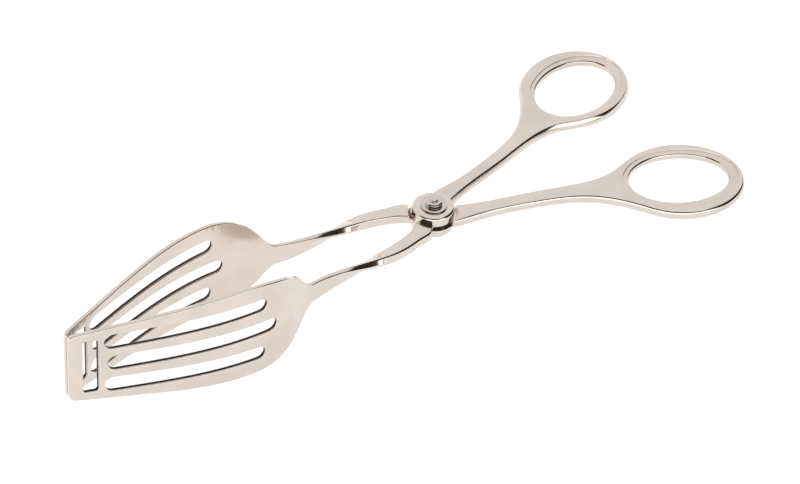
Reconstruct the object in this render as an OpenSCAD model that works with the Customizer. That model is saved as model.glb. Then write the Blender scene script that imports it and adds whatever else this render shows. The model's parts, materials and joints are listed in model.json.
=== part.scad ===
// Scissor serving tongs: two one-piece steel arms crossed at a half-lap joint, each with a finger ring
// at one end and a tall slotted blade at the other. The tongs lie closed on a table, as they rest in use.
// Both arms have the same shape, and the lower one is the upper one turned over.

/* [Steel] */
// Thickness of the bar that the handles, rings and shanks are made of
bar_t = 3.2; // [2.8:0.1:3.6]
// Thickness of the pressed blades
blade_t = 1.3; // [1.0:0.1:1.6]

/* [Finger rings] */
// Distance of the finger hole's centre from the pivot, along the tongs
ring_x = 72; // [70:0.5:74]
// Distance of the finger hole's centre from the middle line when the tongs are closed
ring_y = 25; // [24:0.5:26]
// Length of the finger hole
hole_l = 30.8; // [28:0.2:32]
// Width of the finger hole
hole_w = 21.4; // [20:0.2:22.4]
// Length of the ring over its outside
ring_l = 38.6; // [37.6:0.2:40]
// Width of the ring over its outside
ring_w = 31.8; // [30.8:0.2:33]
// Turn of the ring's long axis away from the middle line
ring_turn = 18; // [14:1:22]

/* [Lap joint] */
// Radius of the round boss on each arm
boss_r = 6.2; // [5.6:0.1:6.6]
// Height of the boss above the bar's flat
boss_h = 2.1; // [1.4:0.1:2.6]
// Radius of the hollowed shoulders beside the boss
shoulder_r = 7.4; // [7.1:0.1:7.9]
// Gap between the two lap faces
lap_gap = 0.1; // [0.06:0.02:0.2]

/* [Pivot] */
// Radius of the pivot screw's shank
pin_r = 1.5; // [1.3:0.05:1.8]
// Radial clearance of the shank in both arms
pin_play = 0.05; // [0.02:0.01:0.08]
// Radius of the screw's head under the lower boss
head_r = 3.2; // [2.6:0.1:3.8]
// Height of the screw's head
head_h = 1; // [0.6:0.1:1.4]
// Radius of the washer
washer_r = 3.9; // [3.4:0.1:4.4]
// Thickness of the washer
washer_t = 0.5; // [0.4:0.05:0.8]
// Radius of the round nut
nut_r = 2.5; // [2.3:0.05:2.8]
// Height of the round nut
nut_h = 1.3; // [1:0.1:1.7]
// Radius of the screw's peened end
nub_r = 1.1; // [0.8:0.05:1.2]
// Height of the peened end above the nut
nub_h = 0.5; // [0.3:0.1:0.7]

/* [Blades] */
// Distance of the blade tips from the pivot
tip_s = 121; // [119:0.5:124]
// Height of each blade at its tip
tip_h = 23.6; // [22:0.2:25]
// Radius of the corners at the tip
tip_corner_r = 1.7; // [1:0.1:2.5]
// Width of the long slots at their pivot end
slot_w_root = 4.4; // [4:0.1:4.8]
// Width of the long slots at their tip end
slot_w_tip = 5.1; // [4.6:0.1:5.4]
// Height of the upright slot near the tip
cross_slot_h = 18.8; // [17:0.2:20]
// Corner radius of the upright slot
cross_slot_corner_r = 1.2; // [0.4:0.1:1.8]
// Width of the upright slot near the tip
cross_slot_w = 4; // [3.4:0.1:4.4]

/* [Hidden] */
$fn = 96;
STEEL = [0.86, 0.83, 0.80];
DARK_STEEL = [0.72, 0.70, 0.68];
far = 60;          // longer than any cut has to be
run_gap = 0.05;    // gap under the washer, which turns on the upper boss
fit_gap = 0.01;    // radial gap of the nut on the screw's end
ring_shift = [0.3, 0.85];   // the outside of the ring stands off the hole's centre by this much
hole_c = [ring_x, ring_y];
ring_c = hole_c + ring_shift;
half_t = bar_t / 2;
boss_top = half_t + boss_h;

// Where the ring's round outside hands over to the handle's edges, as angles on the ellipse
ring_from = -112;
ring_to = 138;
ring_steps = 54;

// Edges of the handle, seen from above, from the ring to the pivot
HANDLE_OUTER = [[48.2, 22.4], [43.4, 18.5], [37, 15.2], [29.5, 12.6], [20, 9.9], [12, 8.4], [7.2, 7.8],
                [4.2, 7.3], [2, 6.9], [-0.6, 7.1], [-3, 6.5], [-5, 5.15], [-6.3, 3.2], [-6, 1.2]];
HANDLE_INNER = [[5.6, 0.4], [8.8, 1.4], [14, 3.2], [22, 5.4], [30, 7.4], [39, 10], [48, 12.2], [56, 12.4],
                [63, 10.6]];
// Edges of the flat root of the shank, from the pivot outwards
ROOT_INNER = [[-5.4, -0.8], [-7.8, -1.9], [-9.8, -3.2], [-12.4, -4.25]];
ROOT_OUTER = [[-13, -8.95], [-9.6, -8.3], [-6.3, -7.75], [-5.7, -7.3], [-3.9, -5.7]];

// Distance of the shank's and blade's middle surface from the middle line, along the arm
PLAN = [[8, 4.6], [13, 6.65], [18, 7.75], [25, 8.2], [34, 8.2], [43, 8.55], [51, 10.1], [60.5, 13.4],
        [70, 14], [82, 12.4], [97, 8.5], [109, 4.65], [tip_s, 0.78]];
// Half the height of the blade along the arm
SIDE = [[46, 3.1], [49, 3.7], [51.5, 6], [54, 9.4], [57.5, 12.6], [63, 15], [71, 16.1], [84, 15.7],
        [102, 13.8], [tip_s, tip_h / 2]];
// Width and thickness of the twisted shank along the arm
SHANK_W = [[10, 4.7], [20, 4.7], [30, 4.7], [38, 5.2], [48, 6.6]];
SHANK_T = [[10, bar_t], [18, bar_t], [28, 2.5], [38, 1.7], [48, blade_t]];
twist_from = 13;
twist_to = 45;
shank_from = 12;
shank_to = 48.5;
shank_rings = 18;
neck_s = 47;       // where the blade's own outline starts

// Long slots: [pivot end, tip end, height of the centre at the pivot end, and at the tip end]
SLOTS = [[66.9, 111.8, 8.9, 7.8], [63.3, 111, 0.2, 0], [66.9, 111.8, -8.9, -7.8]];
cross_slot_s = 113.4;

// A smooth curve through hand-set points, n steps to each span
function curve_at(a, b, c, d, t) =
    0.5 * (2 * b + (c - a) * t + (2 * a - 5 * b + 4 * c - d) * t * t + (3 * b - a - 3 * c + d) * t * t * t);
function smooth(pts, n) = concat(
    [for (i = [0:len(pts) - 2], j = [0:n - 1])
        curve_at(pts[max(i - 1, 0)], pts[i], pts[i + 1], pts[min(i + 2, len(pts) - 1)], j / n)],
    [pts[len(pts) - 1]]);
function reversed(pts) = [for (i = [len(pts) - 1:-1:0]) pts[i]];
function ease(u) = u <= 0 ? 0 : u >= 1 ? 1 : u * u * (3 - 2 * u);
// A point on an ellipse, with its long axis turned by ring_turn
function on_ellipse(c, l, w, a) =
    c + [l / 2 * cos(a) * cos(ring_turn) - w / 2 * sin(a) * sin(ring_turn),
         l / 2 * cos(a) * sin(ring_turn) + w / 2 * sin(a) * cos(ring_turn)];
function arc(c, r, from, to, n) =
    [for (i = [0:n]) let (a = from + (to - from) * i / n) c + r * [cos(a), sin(a)]];

PLAN_LINE = smooth(PLAN, 6);
SIDE_LINE = smooth(SIDE, 5);

// How the closed tongs lie: on the ends of the rings and on the lower edges of the blades
ring_end = max([for (a = [0:1:360]) on_ellipse(ring_c, ring_l, ring_w, a)[0]]);
tilt = max([for (p = SIDE_LINE) atan2(p[1] - half_t, ring_end + p[0])]);
lift = ring_end * sin(tilt) + half_t * cos(tilt);
tip_low = tip_h / 2 - tip_corner_r;
x_max = ring_end * cos(tilt) + half_t * sin(tilt);
x_min = (tip_corner_r - tip_s) * cos(tilt) - tip_low * sin(tilt) - tip_corner_r;

module lay() {
    translate([-(x_max + x_min) / 2, 0, lift]) rotate([0, tilt, 0]) children();
}

// Flat plate of one arm: ring, handle, lap and the root of the shank, before the lap is cut
module flat_plate() {
    outside = [for (i = [0:ring_steps])
        on_ellipse(ring_c, ring_l, ring_w, ring_from + (ring_to - ring_from) * i / ring_steps)];
    translate([0, 0, -half_t]) linear_extrude(height = bar_t)
        polygon(concat(outside, smooth(HANDLE_OUTER, 5), smooth(ROOT_INNER, 3), smooth(ROOT_OUTER, 3),
                       smooth(HANDLE_INNER, 5)));
}

module finger_hole() {
    translate([0, 0, -far / 2]) linear_extrude(height = far)
        polygon([for (i = [0:71]) on_ellipse(hole_c, hole_l, hole_w, i * 5)]);
}

// Section of the shank: a bar with softened corners, w wide and t thick, turned by a about the arm
function bar_section(w, t, a) = let (r = min(w, t) * 0.16)
    [for (q = [[1, 1], [-1, 1], [-1, -1], [1, -1]], k = [0, 1, 2])
        let (c = [q[0] * (w / 2 - r), q[1] * (t / 2 - r)],
             base = q == [1, 1] ? 0 : q == [-1, 1] ? 90 : q == [-1, -1] ? 180 : 270,
             p = c + r * [cos(base + 45 * k), sin(base + 45 * k)])
        [p[0] * cos(a) - p[1] * sin(a), p[0] * sin(a) + p[1] * cos(a)]];

// The shank turns a quarter turn, from flat bar at the lap to upright at the neck
module shank() {
    sides = 12;
    rings = [for (i = [0:shank_rings])
        let (s = shank_from + (shank_to - shank_from) * i / shank_rings,
             y = lookup(s, PLAN_LINE),
             turn = -90 * ease((s - twist_from) / (twist_to - twist_from)))
        [for (p = bar_section(lookup(s, smooth(SHANK_W, 6)), lookup(s, smooth(SHANK_T, 6)), turn))
            [-s, p[0] - y, p[1]]]];
    points = [for (ring = rings, p = ring) p];
    walls = [for (i = [0:shank_rings - 1], j = [0:sides - 1])
        let (a = i * sides + j, b = i * sides + (j + 1) % sides)
        [a, b, b + sides, a + sides]];
    caps = [[for (j = [sides - 1:-1:0]) j], [for (j = [0:sides - 1]) shank_rings * sides + j]];
    polyhedron(points, concat(walls, caps));
}

// Long slot with round ends, seen from the side: tapers from one width to the other
function long_slot(s) = concat(
    arc([s[0] + slot_w_root / 2, s[2]], slot_w_root / 2, 90, 270, 10),
    arc([s[1] - slot_w_tip / 2, s[3]], slot_w_tip / 2, -90, 90, 10));
function cross_slot() =
    let (r = cross_slot_corner_r, lo = -cross_slot_h / 2, s0 = cross_slot_s, s1 = s0 + cross_slot_w) concat(
    arc([s0 + r, lo + r], r, 180, 270, 4), arc([s1 - r, lo + r], r, 270, 360, 4),
    arc([s1 - r, -lo - r], r, 0, 90, 4), arc([s0 + r, -lo - r], r, 90, 180, 4));

module through_blade(outline) {
    mirror([1, 0, 0]) rotate([90, 0, 0]) translate([0, 0, -far])
        linear_extrude(height = 2 * far) polygon(outline);
}

// The blade: a bowed strip seen from above, cut to its outline seen from the side
module blade() {
    line = [for (p = PLAN_LINE) if (p[0] >= neck_s - 4) p];
    n = len(line) - 1;
    normal = [for (i = [0:n]) let (d = line[min(i + 1, n)] - line[max(i - 1, 0)]) [-d[1], d[0]] / norm(d)];
    strip = concat([for (i = [0:n]) line[i] + blade_t / 2 * normal[i]],
                   [for (i = [n:-1:0]) line[i] - blade_t / 2 * normal[i]]);
    side = [for (p = SIDE_LINE) if (p[0] >= neck_s - 1 && p[0] < tip_s - tip_corner_r) p];
    corner = [tip_s - tip_corner_r, tip_h / 2 - tip_corner_r];
    upper = concat(side, arc(corner, tip_corner_r, 90, 0, 6));
    difference() {
        intersection() {
            translate([0, 0, -far / 2]) linear_extrude(height = far)
                polygon([for (p = strip) [-p[0], -p[1]]]);
            through_blade(concat(upper, [for (p = reversed(upper)) [p[0], -p[1]]]));
        }
        for (s = SLOTS) through_blade(long_slot(s));
        through_blade(cross_slot());
    }
}

// One whole arm about the pivot, the lap's middle plane at z = 0
module arm() {
    difference() {
        union() {
            flat_plate();
            shank();
            blade();
            cylinder(r = boss_r, h = boss_top);
        }
        finger_hole();
        translate([0, 0, lap_gap / 2 - far]) cylinder(r = shoulder_r, h = far);
        translate([0, 0, -far / 2]) cylinder(r = pin_r + pin_play, h = far);
    }
}

module upper_arm() {
    color(STEEL) lay() arm();
}

module lower_arm() {
    color(STEEL) lay() rotate([180, 0, 0]) arm();
}

// Turned about the pivot: head below, shank through both arms, peened end on top
module pivot_screw() {
    seat = boss_top + run_gap + washer_t;
    nub_top = seat + nut_h + nub_h;
    chamfer = 0.25;
    color(DARK_STEEL) lay() rotate_extrude()
        polygon(concat(
            [[0, -boss_top - head_h], [head_r - chamfer * 2, -boss_top - head_h],
             [head_r, -boss_top - head_h + chamfer * 2], [head_r, -boss_top], [pin_r, -boss_top],
             [pin_r, seat - chamfer], [nub_r, seat]],
            [for (i = [0:6]) [nub_r * cos(i * 15), nub_top - nub_h * (1 - sin(i * 15))]]));
}

module pivot_washer() {
    soft = 0.15;
    color(STEEL) lay() translate([0, 0, boss_top + run_gap]) rotate_extrude()
        polygon([[pin_r + pin_play, 0], [washer_r, 0], [washer_r, washer_t - soft],
                 [washer_r - soft, washer_t], [pin_r + pin_play, washer_t]]);
}

module pivot_nut() {
    chamfer = 0.35;
    color(STEEL) lay() translate([0, 0, boss_top + run_gap + washer_t]) rotate_extrude()
        polygon([[nub_r + fit_gap, 0], [nut_r, 0], [nut_r, nut_h - chamfer],
                 [nut_r - chamfer, nut_h], [nub_r + fit_gap, nut_h]]);
}

upper_arm();
lower_arm();
pivot_screw();
pivot_washer();
pivot_nut();
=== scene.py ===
"""Scissor serving tongs in polished steel: surfaces, finishes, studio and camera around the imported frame.

Shapes are worked out in an arm's own frame, in millimetres: the pivot's axis is z, the middle of the lap is
z = 0, the handle runs to +x and +y, and the shank and blade to -x and -y. The lower arm is the same shape
turned over.
"""

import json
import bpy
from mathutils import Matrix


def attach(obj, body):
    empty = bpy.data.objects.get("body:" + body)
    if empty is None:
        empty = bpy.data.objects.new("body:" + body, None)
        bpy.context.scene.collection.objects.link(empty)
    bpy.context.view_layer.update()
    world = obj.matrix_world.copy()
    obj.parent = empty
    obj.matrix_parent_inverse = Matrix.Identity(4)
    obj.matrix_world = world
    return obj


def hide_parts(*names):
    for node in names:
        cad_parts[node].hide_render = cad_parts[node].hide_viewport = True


bl_info = {
    "name": "Scissor Serving Tongs",
    "version": (1, 0, 0),
    "blender": (4, 5, 0),
    "location": "View3D > Sidebar > Tongs",
    "description": "Makes a pair of slotted scissor tongs, their steel finishes and a pale studio",
    "category": "Add Mesh",
}

import bmesh
import bpy
import numpy as np
from bpy.props import FloatProperty, FloatVectorProperty, IntProperty, PointerProperty
from mathutils import Matrix

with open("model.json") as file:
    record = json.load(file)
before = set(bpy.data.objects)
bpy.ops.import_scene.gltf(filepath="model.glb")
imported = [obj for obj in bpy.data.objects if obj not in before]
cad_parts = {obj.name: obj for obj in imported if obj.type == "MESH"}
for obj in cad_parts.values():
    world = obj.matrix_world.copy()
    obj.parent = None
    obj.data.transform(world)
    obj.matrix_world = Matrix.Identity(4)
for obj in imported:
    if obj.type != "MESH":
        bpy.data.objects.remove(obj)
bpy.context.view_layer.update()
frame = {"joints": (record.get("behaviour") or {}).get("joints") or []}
HINGE = frame["joints"][0]
MM = 0.001

# ---------------------------------------------------------------------------------------------------------
# Given points and small sizes of the arm, in millimetres
# ---------------------------------------------------------------------------------------------------------
# Handle's outline, on the side of the middle line and then on the outer side
HANDLE_INNER = [(-3.2, -0.6), (4.2, -0.3), (8.8, 1.4), (14, 3.2), (22, 5.4), (30, 7.4), (39, 10), (48, 12.2),
                (56, 12.4), (63, 10.6)]
HANDLE_OUTER = [(48.2, 22.4), (43.4, 18.5), (37, 15.2), (29.5, 12.6), (20, 9.9), (12, 8.4), (7.2, 7.8),
                (4.2, 7.3), (2, 6.9), (-0.6, 7.1), (-3, 6.5), (-5, 5.15), (-6.3, 3.2), (-5.2, 0.8)]
# Between the two the outline follows the ring's ellipse, from one angle to the other on this many knots
RING_FROM, RING_TO, RING_KNOTS = -112, 138, 22
# Middle of the ring from the middle of its hole, because the ring is wider on its outer side
RING_SHIFT = (0.3, 0.85)

# Middle of the shank and blade: (distance from the pivot, distance from the middle line)
PLAN = [(3, 2.6), (4, 3.15), (5, 3.73), (6, 4.3), (7, 4.7), (8, 5.05), (9.7, 5.7), (12.4, 6.55),
        (15.2, 7.25), (19, 7.9), (25, 8.2), (34, 8.2), (43, 8.55), (51, 10.1), (60.5, 13.4), (70, 14),
        (82, 12.4), (97, 8.5), (109, 4.65), (121, 0.78)]
# Half the width of the shank, and its thickness
SHANK_W = [(3, 2.35), (4, 2.7), (5, 3.05), (6, 3.3), (7, 3.17), (8, 3.02), (9.7, 2.6), (12.4, 2.35),
           (15.2, 2.25), (19, 2.2), (25, 2.2), (31, 2.3), (38, 2.6), (44, 2.95), (48, 3.4)]
SHANK_T = [(3, 3.2), (18, 3.2), (28, 2.5), (38, 1.7), (48, 1.3), (121, 1.3)]
# Half the height of the blade
SIDE = [(46, 3.1), (49, 3.7), (51.5, 6), (54, 9.4), (57.5, 12.6), (63, 15), (71, 16.1), (84, 15.7),
        (102, 13.8), (121, 11.8)]
# Radius of the corners along the shank
CORNERS = [(12, 0.85), (30, 0.6), (48, 0.32)]
# The shank's width gives way to the blade's between these distances
SHANK_END, BLADE_START = 46, 48
# Past this distance the arm stands upright, and its thickness is square to its own slope in plan
UPRIGHT_FROM = 40
# Radius of the round across the thickness at the tip's end
END_ROUND = 0.3

# Long slots: pivot end, tip end, height of the middle at the pivot end and at the tip end
SLOTS = [(66.9, 111.8, 8.9, 7.8), (63.3, 111.0, 0.2, 0.0), (66.9, 111.8, -8.9, -7.8)]
# Upright slot near the tip: pivot side, tip side, half its height
CROSS_SLOT = (113.4, 117.4, 9.4)
CROSS_CORNER = 1.2     # corner radius of the upright slot
SLOT_EDGE = 0.28       # radius of the softened edge round each slot
# Each face has this many lines along it, of which these run above and below each long slot
FACE_LINES = 12
SLOT_LINES = ((2, 3), (5, 6), (8, 9))


# ---------------------------------------------------------------------------------------------------------
# Curves
# ---------------------------------------------------------------------------------------------------------
def natural_spline(knots, values, at):
    """Cubic spline through values at knots, worked out at `at`.

    Each span is the blend of its two ends plus a cubic part from the bend at each end. The bends come from
    one set of equations, so that slope and bend are continuous, and they are zero at both ends.
    """
    x = np.asarray(knots, float)
    y = np.asarray(values, float)
    h = np.diff(x)
    system = np.eye(len(x))
    inner = np.arange(1, len(x) - 1)
    system[inner, inner - 1] = h[:-1]
    system[inner, inner] = 2 * (h[:-1] + h[1:])
    system[inner, inner + 1] = h[1:]
    slopes = np.diff(y, axis=0) / (h if y.ndim == 1 else h[:, None])
    bend = np.zeros_like(y)
    bend[1:-1] = 6 * np.diff(slopes, axis=0)
    bend = np.linalg.solve(system, bend)
    at = np.clip(np.asarray(at, float), x[0], x[-1])
    i = np.clip(np.searchsorted(x, at) - 1, 0, len(h) - 1)
    a, b, w = x[i + 1] - at, at - x[i], h[i]
    if y.ndim > 1:
        a, b, w = a[:, None], b[:, None], w[:, None]
    return ((bend[i] * a**3 + bend[i + 1] * b**3) / (6 * w) + (y[i] / w - bend[i] * w / 6) * a
            + (y[i + 1] / w - bend[i + 1] * w / 6) * b)


def through(points, at):
    """A height over a distance, as a natural spline through (distance, height) points."""
    points = np.asarray(points, float)
    return natural_spline(points[:, 0], points[:, 1], at)


def eased_through(points, at):
    """The same with the frame's own curve, whose slope at a point is set by its two neighbours."""
    p = np.asarray(points, float)
    q = np.vstack([p[:1], p, p[-1:]])
    t = np.linspace(0, 1, 40, endpoint=False)[None, :, None]
    a, b, c, d = q[:-3, None], q[1:-2, None], q[2:-1, None], q[3:, None]
    line = 0.5 * (2 * b + (c - a) * t + (2 * a - 5 * b + 4 * c - d) * t**2 + (3 * b - a - 3 * c + d) * t**3)
    line = np.vstack([line.reshape(-1, 2), p[-1:]])
    return np.interp(at, line[:, 0], line[:, 1])


def ease(u):
    """0 before 0, 1 after 1, and between them three times the square less twice the cube."""
    u = np.clip(u, 0, 1)
    return u * u * (3 - 2 * u)


def ellipse(centre, length, width, turn, angle):
    """Points on an ellipse whose long axis is turned by `turn`, at the given angles in degrees."""
    a, t = np.radians(angle), np.radians(turn)
    u, v = length / 2 * np.cos(a), width / 2 * np.sin(a)
    x = centre[0] + u * np.cos(t) - v * np.sin(t)
    y = centre[1] + u * np.sin(t) + v * np.cos(t)
    return np.stack([x, y], -1)


def outward(loop, closed=False):
    """Unit normals to the right of a path of 2-D points: each point's step turned a quarter turn."""
    if closed:
        d = np.roll(loop, -1, 0) - np.roll(loop, 1, 0)
    else:
        d = np.gradient(loop, axis=0)
    n = np.stack([d[:, 1], -d[:, 0]], -1)
    return n / np.linalg.norm(n, axis=1, keepdims=True)


# ---------------------------------------------------------------------------------------------------------
# Meshes
# ---------------------------------------------------------------------------------------------------------
def grid_faces(rows, columns, close_rows=False, close_columns=False, first=0):
    """Quads over a grid of points numbered row by row from `first`."""
    i = np.arange(rows if close_rows else rows - 1)[:, None]
    j = np.arange(columns if close_columns else columns - 1)[None, :]
    k, m = (i + 1) % rows, (j + 1) % columns
    quads = np.stack([i * columns + j, i * columns + m, k * columns + m, k * columns + j], -1)
    return quads.reshape(-1, 4) + first


def placed(points):
    """Points in an arm's frame, in millimetres, to the row frame, in metres."""
    up = np.array(HINGE["axis"], float)
    side = np.array([0.0, 1.0, 0.0])
    along = np.cross(side, up)
    return np.asarray(points) @ np.stack([along, side, up]) * MM + np.array(HINGE["pos_m"], float)


def turned_over(points):
    """Half a turn about the arm's own x axis."""
    return np.asarray(points) * np.array([1.0, -1.0, -1.0])


def bare_mesh(name, points, faces, marks=None):
    """An object from points in millimetres: doubles merged, faces turned outwards."""
    mesh = bpy.data.meshes.new(name)
    mesh.from_pydata(points.tolist(), [], [list(f) for f in faces])
    if marks is not None:
        # the marks pick the punched slot walls, which get painted shade as their colour
        mesh.attributes.new("cut", "FLOAT", "FACE").data.foreach_set("value", np.asarray(marks, np.float32))
    work = bmesh.new()
    work.from_mesh(mesh)
    bmesh.ops.remove_doubles(work, verts=work.verts, dist=0.002)
    bmesh.ops.dissolve_degenerate(work, edges=work.edges, dist=0.0005)
    bmesh.ops.recalc_face_normals(work, faces=work.faces)
    work.to_mesh(mesh)
    work.free()
    obj = bpy.data.objects.new(name, mesh)
    bpy.context.scene.collection.objects.link(obj)
    return obj


def combined(base, other, operation):
    """Boolean of two closed meshes, applied to the first; the second is removed."""
    change = base.modifiers.new("combine", "BOOLEAN")
    change.object = other
    change.operation = operation
    change.solver = "EXACT"
    settled(base)
    bpy.data.objects.remove(other, do_unlink=True)
    return base


def settled(obj):
    """Applies the modifiers that an object has now."""
    depsgraph = bpy.context.evaluated_depsgraph_get()
    mesh = bpy.data.meshes.new_from_object(obj.evaluated_get(depsgraph), depsgraph=depsgraph)
    obj.modifiers.clear()
    obj.data = mesh
    return obj


def finished(obj, body, node, materials, over=False, sharp=32):
    """Puts a piece in the row frame, gives it its finishes and its body, and hides the node that it takes the
    place of.
    """
    mesh = obj.data
    co = np.empty(len(mesh.vertices) * 3)
    mesh.vertices.foreach_get("co", co)
    points = co.reshape(-1, 3)
    points = placed(turned_over(points) if over else points)
    mesh.vertices.foreach_set("co", points.ravel())
    mesh.update()
    mesh.materials.clear()
    for material in materials:
        mesh.materials.append(material)
    mesh.shade_smooth()
    mesh.set_sharp_from_angle(angle=np.radians(sharp))
    weighted = obj.modifiers.new("flat faces stay flat", "WEIGHTED_NORMAL")
    weighted.keep_sharp = True
    weighted.weight = 80
    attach(obj, body)
    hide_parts(node)
    return obj


def lathe(name, profile, steps=128):
    """A closed body of revolution: the (radius, height) profile turned about z."""
    profile = np.asarray(profile, float)
    turn = np.linspace(0, 2 * np.pi, steps, endpoint=False)[:, None]
    r, z = profile[None, :, 0], profile[None, :, 1]
    points = np.stack([r * np.cos(turn), r * np.sin(turn), z + 0 * turn], -1).reshape(-1, 3)
    return bare_mesh(name, points, grid_faces(steps, len(profile), close_rows=True))


def soft_corner(before, corner, after, radius, steps=5):
    """Points of a corner rounded to about `radius`, as a quadratic blend between its two sides."""
    before, corner, after = (np.asarray(p, float) for p in (before, corner, after))
    a = corner + (before - corner) / np.linalg.norm(before - corner) * radius
    b = corner + (after - corner) / np.linalg.norm(after - corner) * radius
    t = np.linspace(0, 1, steps)[:, None]
    return (1 - t) ** 2 * a + 2 * t * (1 - t) * corner + t**2 * b


def soft_profile(corners, radius):
    """A lathe profile through corners, every inner corner rounded by the same radius."""
    rows = [np.asarray(corners[:1], float)]
    for before, corner, after in zip(corners, corners[1:], corners[2:]):
        rows.append(soft_corner(before, corner, after, radius))
    rows.append(np.asarray(corners[-1:], float))
    return np.vstack(rows)


# ---------------------------------------------------------------------------------------------------------
# Sizes, finishes and studio that a user would change
# ---------------------------------------------------------------------------------------------------------
class TongsSizes(bpy.types.PropertyGroup):
    """Sizes of the arms and of the joint."""

    bar: FloatProperty(name="Bar", description="Thickness of rings, handles and shanks", default=0.0032,
                       unit="LENGTH")
    ring_x: FloatProperty(name="Ring along", description="Finger hole's distance from the pivot",
                          default=0.072, unit="LENGTH")
    ring_y: FloatProperty(name="Ring aside", description="Finger hole's distance from the middle line",
                          default=0.025, unit="LENGTH")
    hole_l: FloatProperty(name="Hole length", description="Length of the finger hole", default=0.0308,
                          unit="LENGTH")
    hole_w: FloatProperty(name="Hole width", description="Width of the finger hole", default=0.0214,
                          unit="LENGTH")
    ring_l: FloatProperty(name="Ring length", description="Length over the ring", default=0.0386,
                          unit="LENGTH")
    ring_w: FloatProperty(name="Ring width", description="Width over the ring", default=0.0318,
                          unit="LENGTH")
    ring_turn: FloatProperty(name="Ring turn", description="Turn of the ring's long axis, in degrees",
                             default=18)
    lip_depth: FloatProperty(name="Lip depth", description="Depth of the lip round the hole",
                             default=0.0004, unit="LENGTH")
    edge: FloatProperty(name="Upper edge", description="Radius of the bar's upper edge", default=0.0004,
                        unit="LENGTH")
    under: FloatProperty(name="Lower edge", description="Radius of the bar's lower edge", default=0.0009,
                         unit="LENGTH")
    boss_r: FloatProperty(name="Boss", description="Radius of the lap's boss", default=0.0062,
                          unit="LENGTH")
    boss_h: FloatProperty(name="Boss height", description="Height of the boss above the bar",
                          default=0.0021, unit="LENGTH")
    shoulder_r: FloatProperty(name="Shoulder", description="Radius of the hollowed shoulders",
                              default=0.0074, unit="LENGTH")
    lap_gap: FloatProperty(name="Lap gap", description="Gap between the lap faces", default=0.0001,
                           unit="LENGTH")
    bore_r: FloatProperty(name="Bore", description="Radius of the bore in both arms", default=0.00155,
                          unit="LENGTH")
    slot_root: FloatProperty(name="Slot at root", description="Slot width at the pivot end",
                             default=0.0044, unit="LENGTH")
    slot_tip: FloatProperty(name="Slot at tip", description="Slot width at the tip end", default=0.0051,
                            unit="LENGTH")
    tip_corner: FloatProperty(name="Tip corner", description="Corner radius at the tip", default=0.0017,
                              unit="LENGTH")
    twist_from: FloatProperty(name="Twist from", description="Where the shank begins to turn",
                              default=0.013, unit="LENGTH")
    twist_to: FloatProperty(name="Twist to", description="Where the shank has turned upright",
                            default=0.045, unit="LENGTH")
    steps: IntProperty(name="Fineness", description="Steps to one millimetre along the blade", default=2,
                       min=1)


class TongsFinish(bpy.types.PropertyGroup):
    """Colours and polish of the steel, and the near-black painted shade on the punched slot walls."""

    steel: FloatVectorProperty(name="Steel", description="Colour of the polished steel", subtype="COLOR",
                               size=3, default=(0.70, 0.615, 0.55))
    # near black: painted shade in the slots, where the punched walls stand in shade; only the rougher finish
    # is the punched edge's own
    cut: FloatVectorProperty(name="Cut edge", description="Painted shade on the punched edges", subtype="COLOR",
                             size=3, default=(0.035, 0.03, 0.028))
    rivet: FloatVectorProperty(name="Joint steel", description="Colour of the screw, washer and nut",
                               subtype="COLOR", size=3, default=(0.60, 0.54, 0.49))
    polish: FloatProperty(name="Roughness", description="Roughness of the polished flats", default=0.12,
                          min=0, max=1)


class TongsStudio(bpy.types.PropertyGroup):
    """Camera and light."""

    azimuth: FloatProperty(name="Azimuth", description="Camera's turn about the upright, in degrees",
                           default=-34.53)
    elevation: FloatProperty(name="Elevation", description="Camera's height, in degrees", default=44.22)
    roll: FloatProperty(name="Roll", description="Camera's turn about its own line of sight, in degrees",
                        default=-0.85)
    distance: FloatProperty(name="Distance", description="Camera to the point it looks at", default=0.75,
                            unit="LENGTH")
    lens: FloatProperty(name="Lens", description="Focal length on a 36 mm wide sensor, in millimetres",
                        default=117)
    aim: FloatVectorProperty(name="Aim", description="Point the camera looks at", subtype="XYZ", size=3,
                             default=(0.0034, -0.0002, 0.0057))
    floor: FloatVectorProperty(name="Floor", description="Colour of the floor", subtype="COLOR", size=3,
                               default=(0.3, 0.3, 0.3))
    glow: FloatProperty(name="Floor light", description="Light given by the lit floor itself", default=0.92)
    surround: FloatProperty(name="Surround", description="Brightness of the white surround", default=1.0)
    softbox: FloatProperty(name="Softbox", description="Extra brightness low in front", default=1.1)


GROUPS = {"tongs_sizes": TongsSizes, "tongs_finish": TongsFinish, "tongs_studio": TongsStudio}


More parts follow.
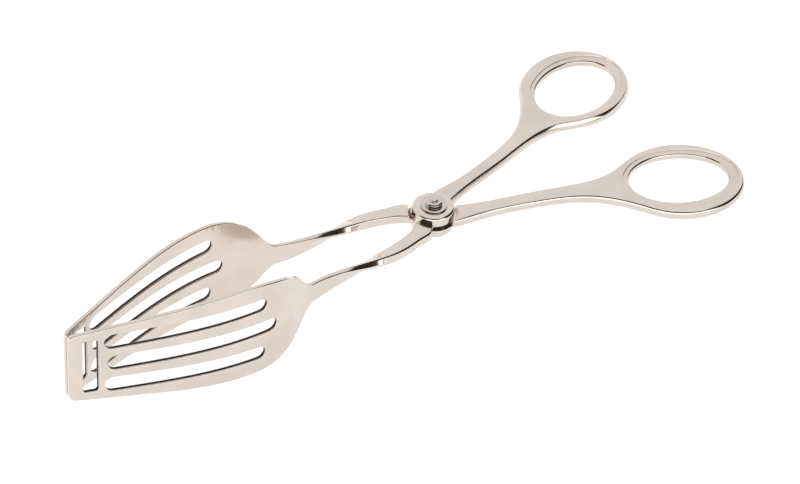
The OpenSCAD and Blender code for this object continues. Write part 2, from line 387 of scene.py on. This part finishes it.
# ---------------------------------------------------------------------------------------------------------
# Finishes
# ---------------------------------------------------------------------------------------------------------
def polish_group():
    """Node group of hand-polished steel.

    Coarse noise is mapped to a small value, which the wear scales: it is added to the roughness and taken
    from the tint's brightness. Fine noise is the height of a slight waviness.
    """
    if "Polished wear" in bpy.data.node_groups:
        return bpy.data.node_groups["Polished wear"]
    group = bpy.data.node_groups.new("Polished wear", "ShaderNodeTree")
    for name, kind, start_value in (("Colour", "NodeSocketColor", (0.8, 0.8, 0.8, 1)),
                                    ("Roughness", "NodeSocketFloat", 0.15),
                                    ("Wear", "NodeSocketFloat", 0.5),
                                    ("Waviness", "NodeSocketFloat", 0.1)):
        group.interface.new_socket(name, in_out="INPUT", socket_type=kind).default_value = start_value
    for name, kind in (("Colour", "NodeSocketColor"), ("Roughness", "NodeSocketFloat"),
                       ("Normal", "NodeSocketVector")):
        group.interface.new_socket(name, in_out="OUTPUT", socket_type=kind)
    nodes, links = group.nodes, group.links
    start, end = nodes.new("NodeGroupInput"), nodes.new("NodeGroupOutput")
    place = nodes.new("ShaderNodeTexCoord")
    clouds, fine = nodes.new("ShaderNodeTexNoise"), nodes.new("ShaderNodeTexNoise")
    for noise, scale, detail in ((clouds, 90, 4), (fine, 900, 3)):
        noise.inputs["Scale"].default_value = scale
        noise.inputs["Detail"].default_value = detail
        links.new(place.outputs["Object"], noise.inputs["Vector"])
    spread = nodes.new("ShaderNodeMapRange")
    for socket, limit in (("From Min", 0.3), ("From Max", 0.7), ("To Min", -0.04), ("To Max", 0.06)):
        spread.inputs[socket].default_value = limit
    links.new(clouds.outputs["Fac"], spread.inputs["Value"])
    scaled = nodes.new("ShaderNodeMath")
    scaled.operation = "MULTIPLY"
    links.new(spread.outputs["Result"], scaled.inputs[0])
    links.new(start.outputs["Wear"], scaled.inputs[1])
    rough = nodes.new("ShaderNodeMath")
    rough.operation = "ADD"
    rough.use_clamp = True
    links.new(start.outputs["Roughness"], rough.inputs[0])
    links.new(scaled.outputs[0], rough.inputs[1])
    tint = nodes.new("ShaderNodeHueSaturation")
    brightness = nodes.new("ShaderNodeMath")
    brightness.operation = "SUBTRACT"
    brightness.inputs[0].default_value = 1
    links.new(scaled.outputs[0], brightness.inputs[1])
    links.new(brightness.outputs[0], tint.inputs["Value"])
    links.new(start.outputs["Colour"], tint.inputs["Color"])
    bump = nodes.new("ShaderNodeBump")
    bump.inputs["Distance"].default_value = 0.00002
    links.new(start.outputs["Waviness"], bump.inputs["Strength"])
    links.new(fine.outputs["Fac"], bump.inputs["Height"])
    links.new(tint.outputs["Color"], end.inputs["Colour"])
    links.new(rough.outputs[0], end.inputs["Roughness"])
    links.new(bump.outputs["Normal"], end.inputs["Normal"])
    return group


# Places of the first value, the second value and the result in a Mix node of each kind
MIX_SOCKETS = {"FLOAT": (2, 3, 0), "RGBA": (6, 7, 2)}
CUT_ROUGHNESS = 0.45


def where_cut_and_shaded(tree, kind, plain, cut):
    """Socket of a Mix node: `plain` on the polished faces, and the given value on the punched ones; given as
    a colour, it is painted shade.
    """
    first, second, result = MIX_SOCKETS[kind]
    mark = tree.nodes.new("ShaderNodeAttribute")
    mark.attribute_name = "cut"
    mix = tree.nodes.new("ShaderNodeMix")
    mix.data_type = kind
    tree.links.new(mark.outputs["Fac"], mix.inputs[0])
    tree.links.new(plain, mix.inputs[first])
    mix.inputs[second].default_value = cut
    return mix.outputs[result]


def steel(name, colour, roughness, wear, waviness, cut=None):
    """Polished steel; where the mesh is marked as cut, a punched edge's roughness and a near-black colour
    that is painted shade.
    """
    if name in bpy.data.materials:
        return bpy.data.materials[name]
    material = bpy.data.materials.new(name)
    material.use_nodes = True
    nodes, links = material.node_tree.nodes, material.node_tree.links
    shader = nodes["Principled BSDF"]
    shader.inputs["Metallic"].default_value = 1
    group = nodes.new("ShaderNodeGroup")
    group.node_tree = polish_group()
    group.inputs["Colour"].default_value = (*colour, 1)
    group.inputs["Roughness"].default_value = roughness
    group.inputs["Wear"].default_value = wear
    group.inputs["Waviness"].default_value = waviness
    links.new(group.outputs["Normal"], shader.inputs["Normal"])
    tinted, polished = group.outputs["Colour"], group.outputs["Roughness"]
    # the punched slot walls take a punched edge's roughness and a near-black colour that is painted shade
    if cut is not None:
        tinted = where_cut_and_shaded(material.node_tree, "RGBA", tinted, (*cut, 1))
        polished = where_cut_and_shaded(material.node_tree, "FLOAT", polished, CUT_ROUGHNESS)
    links.new(tinted, shader.inputs["Base Color"])
    links.new(polished, shader.inputs["Roughness"])
    return material


def arm_steel():
    """Finish of both arms, with painted shade on the punched slot walls."""
    look = bpy.context.scene.tongs_finish
    return steel("warm polished steel", look.steel, look.polish, 1.0, 0.15, cut=look.cut)


def joint_steel():
    """Finish of the screw, washer and nut."""
    look = bpy.context.scene.tongs_finish
    return steel("turned joint steel", look.rivet, look.polish + 0.04, 1.0, 0.3)


# ---------------------------------------------------------------------------------------------------------
# The arm
# ---------------------------------------------------------------------------------------------------------
def side_profile(half, top, bottom):
    """Side of the bar: (inset, height) from the top flat to the bottom one.

    A tight round turns down to a slightly sloping upper wall, which turns into a bulging lower wall and a
    wider round below. Within each part the path turns at a steady rate, so each is an arc: the two rounds and
    the bend between the walls have a set radius, and the two walls share what height is left.
    """
    bounds = np.radians([0, 54, 68, 78, 120, 180])
    spans = zip(bounds, bounds[1:], (7, 5, 3, 8, 8))
    turn = np.unique(np.concatenate([np.linspace(start, end, count) for start, end, count in spans]))
    middle, step = (turn[1:] + turn[:-1]) / 2, np.diff(turn)
    part = np.searchsorted(bounds, middle) - 1
    bend = 0.4
    fixed = np.array([top, 0, bend, 0, bottom])
    left = 2 * half - np.sum(fixed[part] * np.sin(middle) * step)
    radius = fixed[part]
    for wall, share in ((1, 0.42), (3, 0.58)):
        here = part == wall
        radius[here] = share * left / np.sum((np.sin(middle) * step)[here])
    out = np.concatenate([[0], np.cumsum(radius * np.cos(middle) * step)])
    down = np.concatenate([[0], np.cumsum(radius * np.sin(middle) * step)])
    return np.stack([out.max() - out, half - down], -1)


def flat_between(outer, inner, height):
    """Flat face at one height between an outer loop and a hole's loop, as triangles: (points, faces)."""
    loops = np.vstack([outer, inner])
    points = np.column_stack([loops, np.full(len(loops), height)])
    first = np.arange(len(loops))
    following = np.concatenate([np.roll(first[:len(outer)], -1), np.roll(first[len(outer):], -1)])
    mesh = bpy.data.meshes.new("flat")
    mesh.from_pydata(points.tolist(), np.stack([first, following], -1).tolist(), [])
    work = bmesh.new()
    work.from_mesh(mesh)
    bmesh.ops.triangle_fill(work, use_beauty=True, use_dissolve=False, edges=work.edges[:])
    work.to_mesh(mesh)
    work.free()
    corners = np.empty(len(mesh.loops), int)
    mesh.loops.foreach_get("vertex_index", corners)
    bpy.data.meshes.remove(mesh)
    return points, corners.reshape(-1, 3)


def handle_mesh(size):
    """Handle and ring, closed.

    The outline is a natural spline through the handle's points and the ring's ellipse. The side's profile is
    carried round it, each point moved in by the profile's inset. The lip and the hole are ellipses at falling
    heights, and a flat face joins them to the outline above and below.
    """
    mm = 1 / MM
    half = size.bar * mm / 2
    hole_c = np.array([size.ring_x, size.ring_y]) * mm
    ring_c = hole_c + RING_SHIFT
    turn = size.ring_turn
    angles = np.linspace(RING_FROM, RING_TO, RING_KNOTS)
    knots = np.vstack([HANDLE_INNER, ellipse(ring_c, size.ring_l * mm, size.ring_w * mm, turn, angles),
                       HANDLE_OUTER])
    run = np.concatenate([[0], np.cumsum(np.linalg.norm(np.diff(knots, axis=0), axis=1))])
    step = 0.4
    outline = natural_spline(run, knots, np.arange(0, run[-1], step))
    normal = outward(outline)
    profile = side_profile(half, size.edge * mm, size.under * mm)
    wall = outline[:, None] - normal[:, None] * profile[None, :, :1]
    wall = np.concatenate([wall, np.broadcast_to(profile[None, :, 1:], wall.shape[:2] + (1,))], -1)
    points = [wall.reshape(-1, 3)]
    faces = [grid_faces(len(outline), len(profile), close_rows=True).tolist()]

    # rings from the top flat to the middle: length and width beyond the hole's, shift along x, and height
    floor = half - size.lip_depth * mm
    lip = [(5.0, 3.6, 0.5, half), (4.8, 3.4, 0.5, half - 0.05), (4.7, 3.3, 0.5, half - 0.15),
           (4.6, 3.2, 0.5, floor), (4.3, 2.9, 0.45, floor - 0.03), (1.3, 1.2, 0.1, floor - 0.12)]
    hole = [(0.7, 0.7, 0, floor - 0.2), (0.3, 0.3, 0, floor - 0.4), (0.08, 0.08, 0, floor - 0.7),
            (0, 0, 0, 0)]
    upper = np.array(lip + hole)
    lower = upper[-2::-1] * (1, 1, 1, -1)
    rows = np.vstack([upper, lower])
    angles = np.linspace(0, 360, 160, endpoint=False)
    hole_l, hole_w = size.hole_l * mm, size.hole_w * mm
    loops = []
    for longer, wider, shift, height in rows.tolist():
        loop = ellipse(hole_c + (shift, shift * 0.3), hole_l + longer, hole_w + wider, turn, angles)
        loops.append(np.column_stack([loop, np.full(len(loop), height)]))
    points.append(np.vstack(loops))
    faces.append(grid_faces(len(rows), len(angles), close_columns=True, first=len(points[0])).tolist())
    for row, height in ((0, half), (-1, -half)):
        flat_points, flat_faces = flat_between(wall[:, row, :2], loops[row][:, :2], height)
        faces.append((flat_faces + sum(len(group) for group in points)).tolist())
        points.append(flat_points)
    return np.vstack(points), [face for group in faces for face in group]


def blade_columns(size):
    """Distances along the arm at which the shank and blade have a section.

    Even steps, and closer ones where a slot's end or the tip's corner is round: there they follow the sine or
    the cosine of an even angle. Where two nearly meet, a slot's own end is kept.
    """
    mm = 1 / MM
    tip, corner = SIDE[-1][0], size.tip_corner * mm
    root, blade, shank_step, closest = 3, 50, 0.4, 0.03
    spread = 1 - np.cos(np.radians(np.arange(0, 91, 9)))
    columns = [np.arange(root, blade, shank_step), np.arange(blade, tip - corner, 1 / size.steps),
               tip - corner + corner * np.sin(np.radians(np.arange(0, 91, 6)))]
    ends = [tip]
    rounds = [(start, end, size.slot_root * mm / 2 + SLOT_EDGE, size.slot_tip * mm / 2 + SLOT_EDGE)
              for start, end, _, _ in SLOTS]
    rounds.append((CROSS_SLOT[0], CROSS_SLOT[1], CROSS_CORNER, CROSS_CORNER))
    for start, end, root_round, tip_round in rounds:
        columns += [start - SLOT_EDGE + root_round * spread, end + SLOT_EDGE - tip_round * spread]
        ends += [start - SLOT_EDGE, end + SLOT_EDGE]
    ordered = np.unique(np.round(np.concatenate(columns), 4))
    ordered = ordered[ordered <= tip]
    ends = np.round(ends, 4)
    keep = [ordered[0]]
    for s in ordered[1:]:
        if s - keep[-1] > closest:
            keep.append(s)
        elif s in ends:
            keep[-1] = s
    return np.array(keep)


def slot_half(size, slot, s):
    """Half the width of a long slot at s, its softened edge included: straight sides and round ends."""
    mm = 1 / MM
    start, end = slot[0] - SLOT_EDGE, slot[1] + SLOT_EDGE
    r0, r1 = size.slot_root * mm / 2 + SLOT_EDGE, size.slot_tip * mm / 2 + SLOT_EDGE
    u = np.clip((s - start - r0) / (end - r1 - start - r0), 0, 1)
    half = r0 + (r1 - r0) * u
    root = np.sqrt(np.clip(r0**2 - np.clip(r0 - (s - start), 0, r0) ** 2, 0, None))
    tip = np.sqrt(np.clip(r1**2 - np.clip(r1 - (end - s), 0, r1) ** 2, 0, None))
    half = np.where(s < start + r0, root, np.where(s > end - r1, tip, half))
    return np.where((s <= start + 1e-6) | (s >= end - 1e-6), 0, half)


def arm_section(size, s):
    """Section at each s: half width, half thickness, corner radius, inset at the tip, turn, and lean.

    The half width is the shank's, eased into the blade's, less a quarter circle at the tip. The turn is an
    eased quarter turn. The lean is the root of one plus the slope in plan squared, so that the blade keeps
    its thickness square to itself.
    """
    mm = 1 / MM
    tip, corner = SIDE[-1][0], size.tip_corner * mm
    shank = through(SHANK_W, s)
    blade = eased_through(SIDE, s)
    between = shank + (blade - shank) * ease((s - SHANK_END) / (BLADE_START - SHANK_END))
    wide = np.where(s < SHANK_END, shank, np.where(s > BLADE_START, blade, between))
    past = np.clip(s - (tip - corner), 0, corner)
    wide = wide - corner + np.sqrt(np.clip(corner**2 - past**2, 0, None))
    reach = 0.05
    slope = (through(PLAN, s + reach) - through(PLAN, s - reach)) / (2 * reach)
    lean = np.where(s > UPRIGHT_FROM, np.sqrt(1 + slope**2), 1)
    thick = np.interp(s, *np.array(SHANK_T).T) / 2
    radius = np.interp(s, *np.array(CORNERS).T)
    into_end = np.clip(s - (tip - END_ROUND), 0, END_ROUND)
    inset = END_ROUND - np.sqrt(np.clip(END_ROUND**2 - into_end**2, 0, None))
    turn = np.radians(90) * ease((s - size.twist_from * mm) / ((size.twist_to - size.twist_from) * mm))
    return wide, thick, radius, inset, turn, lean


def face_rows(size, s):
    """Heights of the lines along each face: the two edges, both sides of each slot, and one between each two.

    At the blade's root the middles of the slots' lines stand at set shares of the half width, and they ease
    into the slots' own straight middles. Past the long slots the outer lines ease to the upright slot's
    rounded outline, and the inner ones draw in from the long slots by a set way.
    """
    wide, _, radius, _, _, _ = arm_section(size, s)
    edge = wide - radius
    rows = np.zeros((len(s), FACE_LINES))
    join_from, join_over, draw_in = 57, 9, 2.2
    join = ease((s - join_from) / join_over)
    for slot, (above, below), share in zip(SLOTS, SLOT_LINES, (0.6, 0.0, -0.6)):
        straight = slot[2] + (slot[3] - slot[2]) * (s - slot[0]) / (slot[1] - slot[0])
        middle = share * edge * (1 - join) + straight * join
        half = slot_half(size, slot, s)
        rows[:, above], rows[:, below] = middle + half, middle - half
    start, end, top = CROSS_SLOT[0] - SLOT_EDGE, CROSS_SLOT[1] + SLOT_EDGE, CROSS_SLOT[2] + SLOT_EDGE
    near = np.minimum(np.clip(s - start, 0, CROSS_CORNER), np.clip(end - s, 0, CROSS_CORNER))
    rise = top - CROSS_CORNER + np.sqrt(CROSS_CORNER**2 - (CROSS_CORNER - near) ** 2)
    last = SLOTS[0][1] + SLOT_EDGE
    at = ease((s - last) / (start - last))
    rows[:, 2] += (rise - rows[:, 2]) * at
    rows[:, 9] -= (rise + rows[:, 9]) * at
    rows[:, 3] -= draw_in * at
    rows[:, 8] += draw_in * at
    rows[:, 0], rows[:, 11] = edge, -edge
    between = np.array([1, 4, 7, 10])
    rows[:, between] = (rows[:, between - 1] + rows[:, between + 1]) / 2
    return rows


def arm_point(size, s, across, through_it):
    """Place of a point of the shank or blade at s along the arm.

    The plan's middle line gives the start; `across` and `through_it` are the two sides of the section, turned
    about the arm's length by the section's turn.
    """
    _, _, _, _, turn, lean = arm_section(size, s)
    b = through_it * lean
    y = -through(PLAN, s) - across * np.cos(turn) + b * np.sin(turn)
    z = across * np.sin(turn) + b * np.cos(turn)
    return np.stack([-s, y, z], -1)


def slot_wall(size, loop_s, loop_v, first):
    """Wall round one slot: (points, faces, which faces are cut).

    The slot's loop is carried through the blade's thickness. At each face a quarter circle takes it inwards
    by the edge's radius, and only the straight wall between the two counts as cut, and is painted dark as
    shade.
    """
    loop = np.stack([loop_s, loop_v], -1)
    inside = outward(loop, closed=True)
    centre = loop.mean(0)
    if np.sum(inside * (centre - loop)) < 0:
        inside = -inside
    half = SHANK_T[-1][1] / 2
    turn = np.radians([0, 22, 45, 68, 90])
    move = SLOT_EDGE * np.sin(turn)
    depth = half - SLOT_EDGE * (1 - np.cos(turn))
    move = np.concatenate([move, move[::-1]])
    depth = np.concatenate([depth, -depth[::-1]])
    rows = []
    for step, deep in zip(move.tolist(), depth.tolist()):
        p = loop + inside * step
        rows.append(arm_point(size, p[:, 0], p[:, 1], np.full(len(p), deep)))
    faces = grid_faces(len(rows), len(loop), close_columns=True, first=first)
    flat = len(rows) // 2 - 1
    # the straight wall is marked for the punched finish and its painted shade
    cut = np.repeat(np.arange(len(rows) - 1) == flat, len(loop)).astype(float)
    return np.vstack(rows), faces, cut


def shank_and_blade_mesh(size):
    """Shank and blade: (points, faces, which faces are cut and painted dark as shade).

    A section with rounded corners stands at each distance along the arm, and grid faces join one section to
    the next. The faces inside a slot's outline are left out on both sides, and each slot gets its wall.
    """
    s = blade_columns(size)
    wide, thick, radius, inset, _, _ = arm_section(size, s)
    rows = face_rows(size, s)
    n = len(s)
    corner = np.radians(np.arange(0, 91, 15))
    reach = (radius - inset)[:, None]
    deep = (thick - inset)[:, None]
    flat = (wide - radius)[:, None]
    arc_a, arc_b = np.sin(corner)[None, 1:], np.cos(corner)[None, 1:]
    half_edge_a = flat + reach * arc_a
    half_edge_b = deep - reach + reach * arc_b
    # once round the section: one face, the lower edge, the other face, the upper edge
    across = np.hstack([rows, -half_edge_a, -half_edge_a[:, ::-1],
                        rows[:, ::-1], half_edge_a, half_edge_a[:, ::-1]])
    face_b = np.repeat(deep, FACE_LINES, 1)
    into = np.hstack([face_b, half_edge_b, -half_edge_b[:, ::-1],
                      -face_b, -half_edge_b, half_edge_b[:, ::-1]])
    around = across.shape[1]
    grid = arm_point(size, np.repeat(s[:, None], around, 1).ravel(), across.ravel(), into.ravel())
    quads = grid_faces(n, around, close_columns=True).reshape(n - 1, around, 4)
    keep = np.ones((n - 1, around), bool)
    other_face = FACE_LINES + 2 * (len(corner) - 1)
    walls, wall_faces, wall_cut, first = [], [], [], len(grid)

    def column(value):
        """Number of the section at this distance along the arm."""
        return int(np.argmin(np.abs(s - value)))

    for slot, (above, below) in zip(SLOTS, SLOT_LINES):
        a, b = column(slot[0] - SLOT_EDGE), column(slot[1] + SLOT_EDGE)
        keep[a:b, above] = False
        keep[a:b, other_face + FACE_LINES - 1 - below] = False
        loop_s = np.concatenate([s[a:b + 1], s[b - 1:a:-1]])
        loop_v = np.concatenate([rows[a:b + 1, above], rows[b - 1:a:-1, below]])
        points, faces, cut = slot_wall(size, loop_s, loop_v, first)
        walls.append(points)
        wall_faces.append(faces)
        wall_cut.append(cut)
        first += len(points)
    a, b = column(CROSS_SLOT[0] - SLOT_EDGE), column(CROSS_SLOT[1] + SLOT_EDGE)
    keep[a:b, 2:9] = False
    keep[a:b, other_face + 2:other_face + 9] = False
    # the lines between its two ends, of which 5 and 6 are one line past the middle slot
    down = [3, 4, 5, 7, 8]
    loop_s = np.concatenate([s[a:b + 1], np.full(len(down), s[b]), s[b:a - 1:-1], np.full(len(down), s[a])])
    loop_v = np.concatenate([rows[a:b + 1, 2], rows[b, down], rows[b:a - 1:-1, 9], rows[a, down[::-1]]])
    points, faces, cut = slot_wall(size, loop_s, loop_v, first)
    walls.append(points)
    wall_faces.append(faces)
    wall_cut.append(cut)
    caps = [list(range(around)), list(range((n - 1) * around, n * around))]
    skin = quads[keep].tolist()
    faces = skin + caps + np.vstack(wall_faces).tolist()
    cut = np.concatenate([np.zeros(len(skin) + 2)] + wall_cut)
    return np.vstack([grid] + walls), faces, cut


def boss_mesh(size):
    """Boss: a disc from the lap face up, whose top edge is a quarter circle."""
    mm = 1 / MM
    low, top, r = size.lap_gap * mm / 2, (size.bar / 2 + size.boss_h) * mm, size.boss_r * mm
    soft = 0.9
    turn = np.radians(np.arange(0, 91, 9))
    edge = np.stack([r - soft + soft * np.cos(turn), top - soft + soft * np.sin(turn)], -1)
    return lathe("boss", np.vstack([[(0, low), (r, low)], edge, [(0, top)]]))


def cylinder_mesh(name, radius, low, top, steps=160):
    """A plain closed cylinder, used as a cutter."""
    return lathe(name, [(0, low), (radius, low), (radius, top), (0, top)], steps)


def arm(size, name, body, node, over):
    """One arm: handle and ring, shank and blade, and boss in one skin, with the lap and the bore cut."""
    mm = 1 / MM
    points, faces, cut = shank_and_blade_mesh(size)
    whole = bare_mesh(name, points, faces, cut)
    handle_points, handle_faces = handle_mesh(size)
    handle = bare_mesh("handle", handle_points, handle_faces, np.zeros(len(handle_faces)))
    lap, clear = size.lap_gap * mm / 2, 20
    combined(whole, handle, "UNION")
    combined(whole, cylinder_mesh("lap", size.shoulder_r * mm, lap - clear, lap), "DIFFERENCE")
    combined(whole, boss_mesh(size), "UNION")
    combined(whole, cylinder_mesh("bore", size.bore_r * mm, -clear, clear), "DIFFERENCE")
    finished(whole, body, node, [arm_steel()], over)
    return whole


# ---------------------------------------------------------------------------------------------------------
# Operators
# ---------------------------------------------------------------------------------------------------------
class TONGS_OT_arms(bpy.types.Operator):
    """Makes the two arms, with their rings, handles, lap, twisted shanks and slotted blades"""

    bl_idname = "tongs.arms"
    bl_label = "Arms"

    def execute(self, context):
        size = context.scene.tongs_sizes
        arm(size, "upper_arm_steel", "upper", "upper_arm", False)
        arm(size, "lower_arm_steel", "lower", "lower_arm", True)
        return {"FINISHED"}


class TONGS_OT_pivot(bpy.types.Operator):
    """Makes the pivot's screw, washer and nut"""

    bl_idname = "tongs.pivot"
    bl_label = "Pivot"

    def execute(self, context):
        size = context.scene.tongs_sizes
        mm = 1 / MM
        play, washer_t, washer_hole, washer_r = 0.05, 0.5, 1.55, 3.9
        nut_t, nut_hole, nut_r, nut_slope = 1.3, 1.12, 2.5, 0.35
        pin_r, end_r, head_r, head_t, head_slope = 1.5, 1.1, 3.2, 1.0, 0.5
        nub_side, nub_shoulder, nub_r, nub_top = 0.15, 0.42, 0.8, 0.5
        soft, washer_soft = 0.1, 0.12
        boss = (size.bar / 2 + size.boss_h) * mm
        rest = boss + play
        seat = rest + washer_t
        nut_top = seat + nut_t
        # the two rings' profiles start and end half way up their holes
        washer = soft_profile([(washer_hole, rest + washer_t / 2), (washer_hole, rest), (washer_r, rest),
                               (washer_r, seat), (washer_hole, seat),
                               (washer_hole, rest + washer_t / 2)], washer_soft)
        nut = soft_profile([(nut_hole, seat + nut_t / 2), (nut_hole, seat), (nut_r, seat),
                            (nut_r, nut_top - nut_slope), (nut_r - nut_slope, nut_top), (nut_hole, nut_top),
                            (nut_hole, seat + nut_t / 2)], soft)
        screw = soft_profile([(0, -boss - head_t), (head_r - head_slope, -boss - head_t),
                              (head_r, -boss - head_t + head_slope), (head_r, -boss), (pin_r, -boss),
                              (pin_r, seat - washer_t / 2), (end_r, seat), (end_r, nut_top + nub_side),
                              (nub_r, nut_top + nub_shoulder), (0, nut_top + nub_top)], soft)
        for name, node, profile in (("washer_steel", "pivot_washer", washer),
                                    ("nut_steel", "pivot_nut", nut),
                                    ("screw_steel", "pivot_screw", screw)):
            piece = lathe(name, profile)
            finished(piece, "lower", node, [joint_steel()])
        return {"FINISHED"}


class TONGS_OT_stage(bpy.types.Operator):
    """Makes the pale floor, the soft light and the camera"""

    bl_idname = "tongs.stage"
    bl_label = "Studio"

    def execute(self, context):
        studio = context.scene.tongs_studio
        floor = studio_floor(studio)
        studio_light(studio)
        studio_camera(context, studio)
        context.scene.view_settings.view_transform = "Standard"
        return {"FINISHED"}


def studio_floor(studio):
    """A wide disc of lit white paper under the tongs: points at radius and angle.

    Its own light is the studio's, plus a little more that rises smoothly with the distance from the middle.
    """
    steps, brighter_from, brighter_at, brighter_by = 64, 0.1, 0.35, 0.5
    radius = np.array([0.15, 0.4, 1.0, 3.0])[:, None]
    angle = np.linspace(0, 2 * np.pi, steps, endpoint=False)[None, :]
    points = np.stack([radius * np.cos(angle), radius * np.sin(angle), 0 * radius + 0 * angle], -1)
    mesh = bpy.data.meshes.new("floor")
    faces = grid_faces(len(radius), steps, close_columns=True).tolist() + [list(range(steps))]
    mesh.from_pydata(points.reshape(-1, 3).tolist(), [], faces)
    floor = bpy.data.objects.new("floor", mesh)
    bpy.context.scene.collection.objects.link(floor)
    material = bpy.data.materials.new("lit white paper")
    material.use_nodes = True
    tree = material.node_tree
    shader = tree.nodes["Principled BSDF"]
    shader.inputs["Base Color"].default_value = (*studio.floor, 1)
    shader.inputs["Roughness"].default_value = 0.9
    shader.inputs["Specular IOR Level"].default_value = 0
    shader.inputs["Emission Color"].default_value = (1, 1, 1, 1)
    place = tree.nodes.new("ShaderNodeTexCoord")
    away = tree.nodes.new("ShaderNodeVectorMath")
    away.operation = "LENGTH"
    tree.links.new(place.outputs["Object"], away.inputs[0])
    brighter = smooth_mask(tree, away.outputs["Value"], brighter_from, brighter_at)
    glow = joined(tree, "ADD", studio.glow, joined(tree, "MULTIPLY", brighter, brighter_by))
    tree.links.new(glow, shader.inputs["Emission Strength"])
    mesh.materials.append(material)
    return floor


def towards(azimuth, elevation):
    """Unit vector at an azimuth from +x and an elevation, in degrees."""
    a, e = np.radians([azimuth, elevation])
    return (float(np.cos(a) * np.cos(e)), float(np.sin(a) * np.cos(e)), float(np.sin(e)))


def smooth_mask(tree, value, low, high):
    """Socket that rises smoothly from 0 at `low` to 1 at `high` of another socket."""
    step = tree.nodes.new("ShaderNodeMapRange")
    step.interpolation_type = "SMOOTHSTEP"
    step.inputs["From Min"].default_value = low
    step.inputs["From Max"].default_value = high
    tree.links.new(value, step.inputs["Value"])
    return step.outputs["Result"]


def joined(tree, operation, first, second):
    """Socket of a Math node over two sockets or numbers."""
    node = tree.nodes.new("ShaderNodeMath")
    node.operation = operation
    for socket, given in zip(node.inputs, (first, second)):
        if isinstance(given, (int, float)):
            socket.default_value = given
        else:
            tree.links.new(given, socket)
    return node.outputs["Value"]


def studio_light(studio):
    """White room with dark cards at the right and left, a dark line over the camera and one at the horizon.

    Each is a smooth mask over the direction that a surface reflects: over its height, or over the angle to
    the middle of a card. The light is the surround plus the softbox, less what the masks take, and what the
    camera sees directly is never darker than the surround.
    """
    world = bpy.data.worlds.new("studio")
    bpy.context.scene.world = world
    world.use_nodes = True
    tree = world.node_tree
    direction = tree.nodes.new("ShaderNodeTexCoord").outputs["Generated"]
    height = tree.nodes.new("ShaderNodeSeparateXYZ")
    tree.links.new(direction, height.inputs["Vector"])
    height = height.outputs["Z"]

    def near(azimuth, elevation, outer, inner):
        """Mask round a direction: 0 beyond `outer` degrees from it, 1 within `inner`."""
        node = tree.nodes.new("ShaderNodeVectorMath")
        node.operation = "DOT_PRODUCT"
        node.inputs[1].default_value = towards(azimuth, elevation)
        tree.links.new(direction, node.inputs[0])
        return smooth_mask(tree, node.outputs["Value"], *np.cos(np.radians([outer, inner])).tolist())

    def over_height(low, high):
        """Mask over the sine of the height: 0 at `low`, 1 at `high`."""
        return smooth_mask(tree, height, low, high)

    darkness = 0.97
    front = near(studio.azimuth - 90, 0, 85, 60)
    over = joined(tree, "MULTIPLY", over_height(0.42, 0.52), over_height(0.96, 0.90))
    horizon = over_height(0.07, 0.03)
    lines = joined(tree, "MULTIPLY", joined(tree, "MAXIMUM", over, horizon), front)
    cards = joined(tree, "MAXIMUM", near(-24, 24, 38, 32), near(-176, 36, 26, 20))
    dark = joined(tree, "MAXIMUM", lines, cards)
    softbox = joined(tree, "MULTIPLY", front, over_height(0.5, 0.4))
    light = joined(tree, "ADD", studio.surround, joined(tree, "MULTIPLY", softbox, studio.softbox))
    left = joined(tree, "SUBTRACT", 1.0, joined(tree, "MULTIPLY", dark, darkness))
    light = joined(tree, "MULTIPLY", light, left)
    seen = tree.nodes.new("ShaderNodeLightPath").outputs["Is Camera Ray"]
    light = joined(tree, "MAXIMUM", light, joined(tree, "MULTIPLY", seen, studio.surround))
    tree.nodes["Background"].inputs["Color"].default_value = (1, 1, 1, 1)
    tree.links.new(light, tree.nodes["Background"].inputs["Strength"])


def studio_camera(context, studio):
    """Camera on a line from the point it looks at: turned round the upright, raised, then rolled about it."""
    a, e, r = np.radians([studio.azimuth, studio.elevation, studio.roll])
    back = np.array([np.sin(a) * np.cos(e), -np.cos(a) * np.cos(e), np.sin(e)])
    level = np.array([np.cos(a), np.sin(a), 0.0])
    upright = np.cross(back, level)
    right = np.cos(r) * level + np.sin(r) * upright
    up = np.cross(back, right)
    place = np.array(studio.aim) + back * studio.distance
    data = bpy.data.cameras.new("camera")
    data.lens = studio.lens
    data.sensor_width = 36
    camera = bpy.data.objects.new("camera", data)
    matrix = np.eye(4)
    matrix[:3, 0], matrix[:3, 1], matrix[:3, 2], matrix[:3, 3] = right, up, back, place
    camera.matrix_world = Matrix(matrix.tolist())
    context.scene.collection.objects.link(camera)
    context.scene.camera = camera


class TONGS_PT_panel(bpy.types.Panel):
    """Lists the tongs' operators"""

    bl_label = "Serving Tongs"
    bl_idname = "TONGS_PT_panel"
    bl_space_type = "VIEW_3D"
    bl_region_type = "UI"
    bl_category = "Tongs"

    def draw(self, context):
        for operator in OPERATORS:
            self.layout.operator(operator.bl_idname)


OPERATORS = (TONGS_OT_arms, TONGS_OT_pivot, TONGS_OT_stage)
CLASSES = (*GROUPS.values(), *OPERATORS, TONGS_PT_panel)


def register():
    """Adds the classes, and their groups of settings to the scene."""
    for cls in CLASSES:
        bpy.utils.register_class(cls)
    for name, group in GROUPS.items():
        setattr(bpy.types.Scene, name, PointerProperty(type=group))


def unregister():
    """Takes away what register added."""
    for name in GROUPS:
        delattr(bpy.types.Scene, name)
    for cls in reversed(CLASSES):
        bpy.utils.unregister_class(cls)


def main():
    """Makes the whole scene: the arms, the pivot's pieces and the studio."""
    register()
    bpy.ops.tongs.arms()
    bpy.ops.tongs.pivot()
    bpy.ops.tongs.stage()
    bpy.context.view_layer.update()


if __name__ == "__main__":
    main()
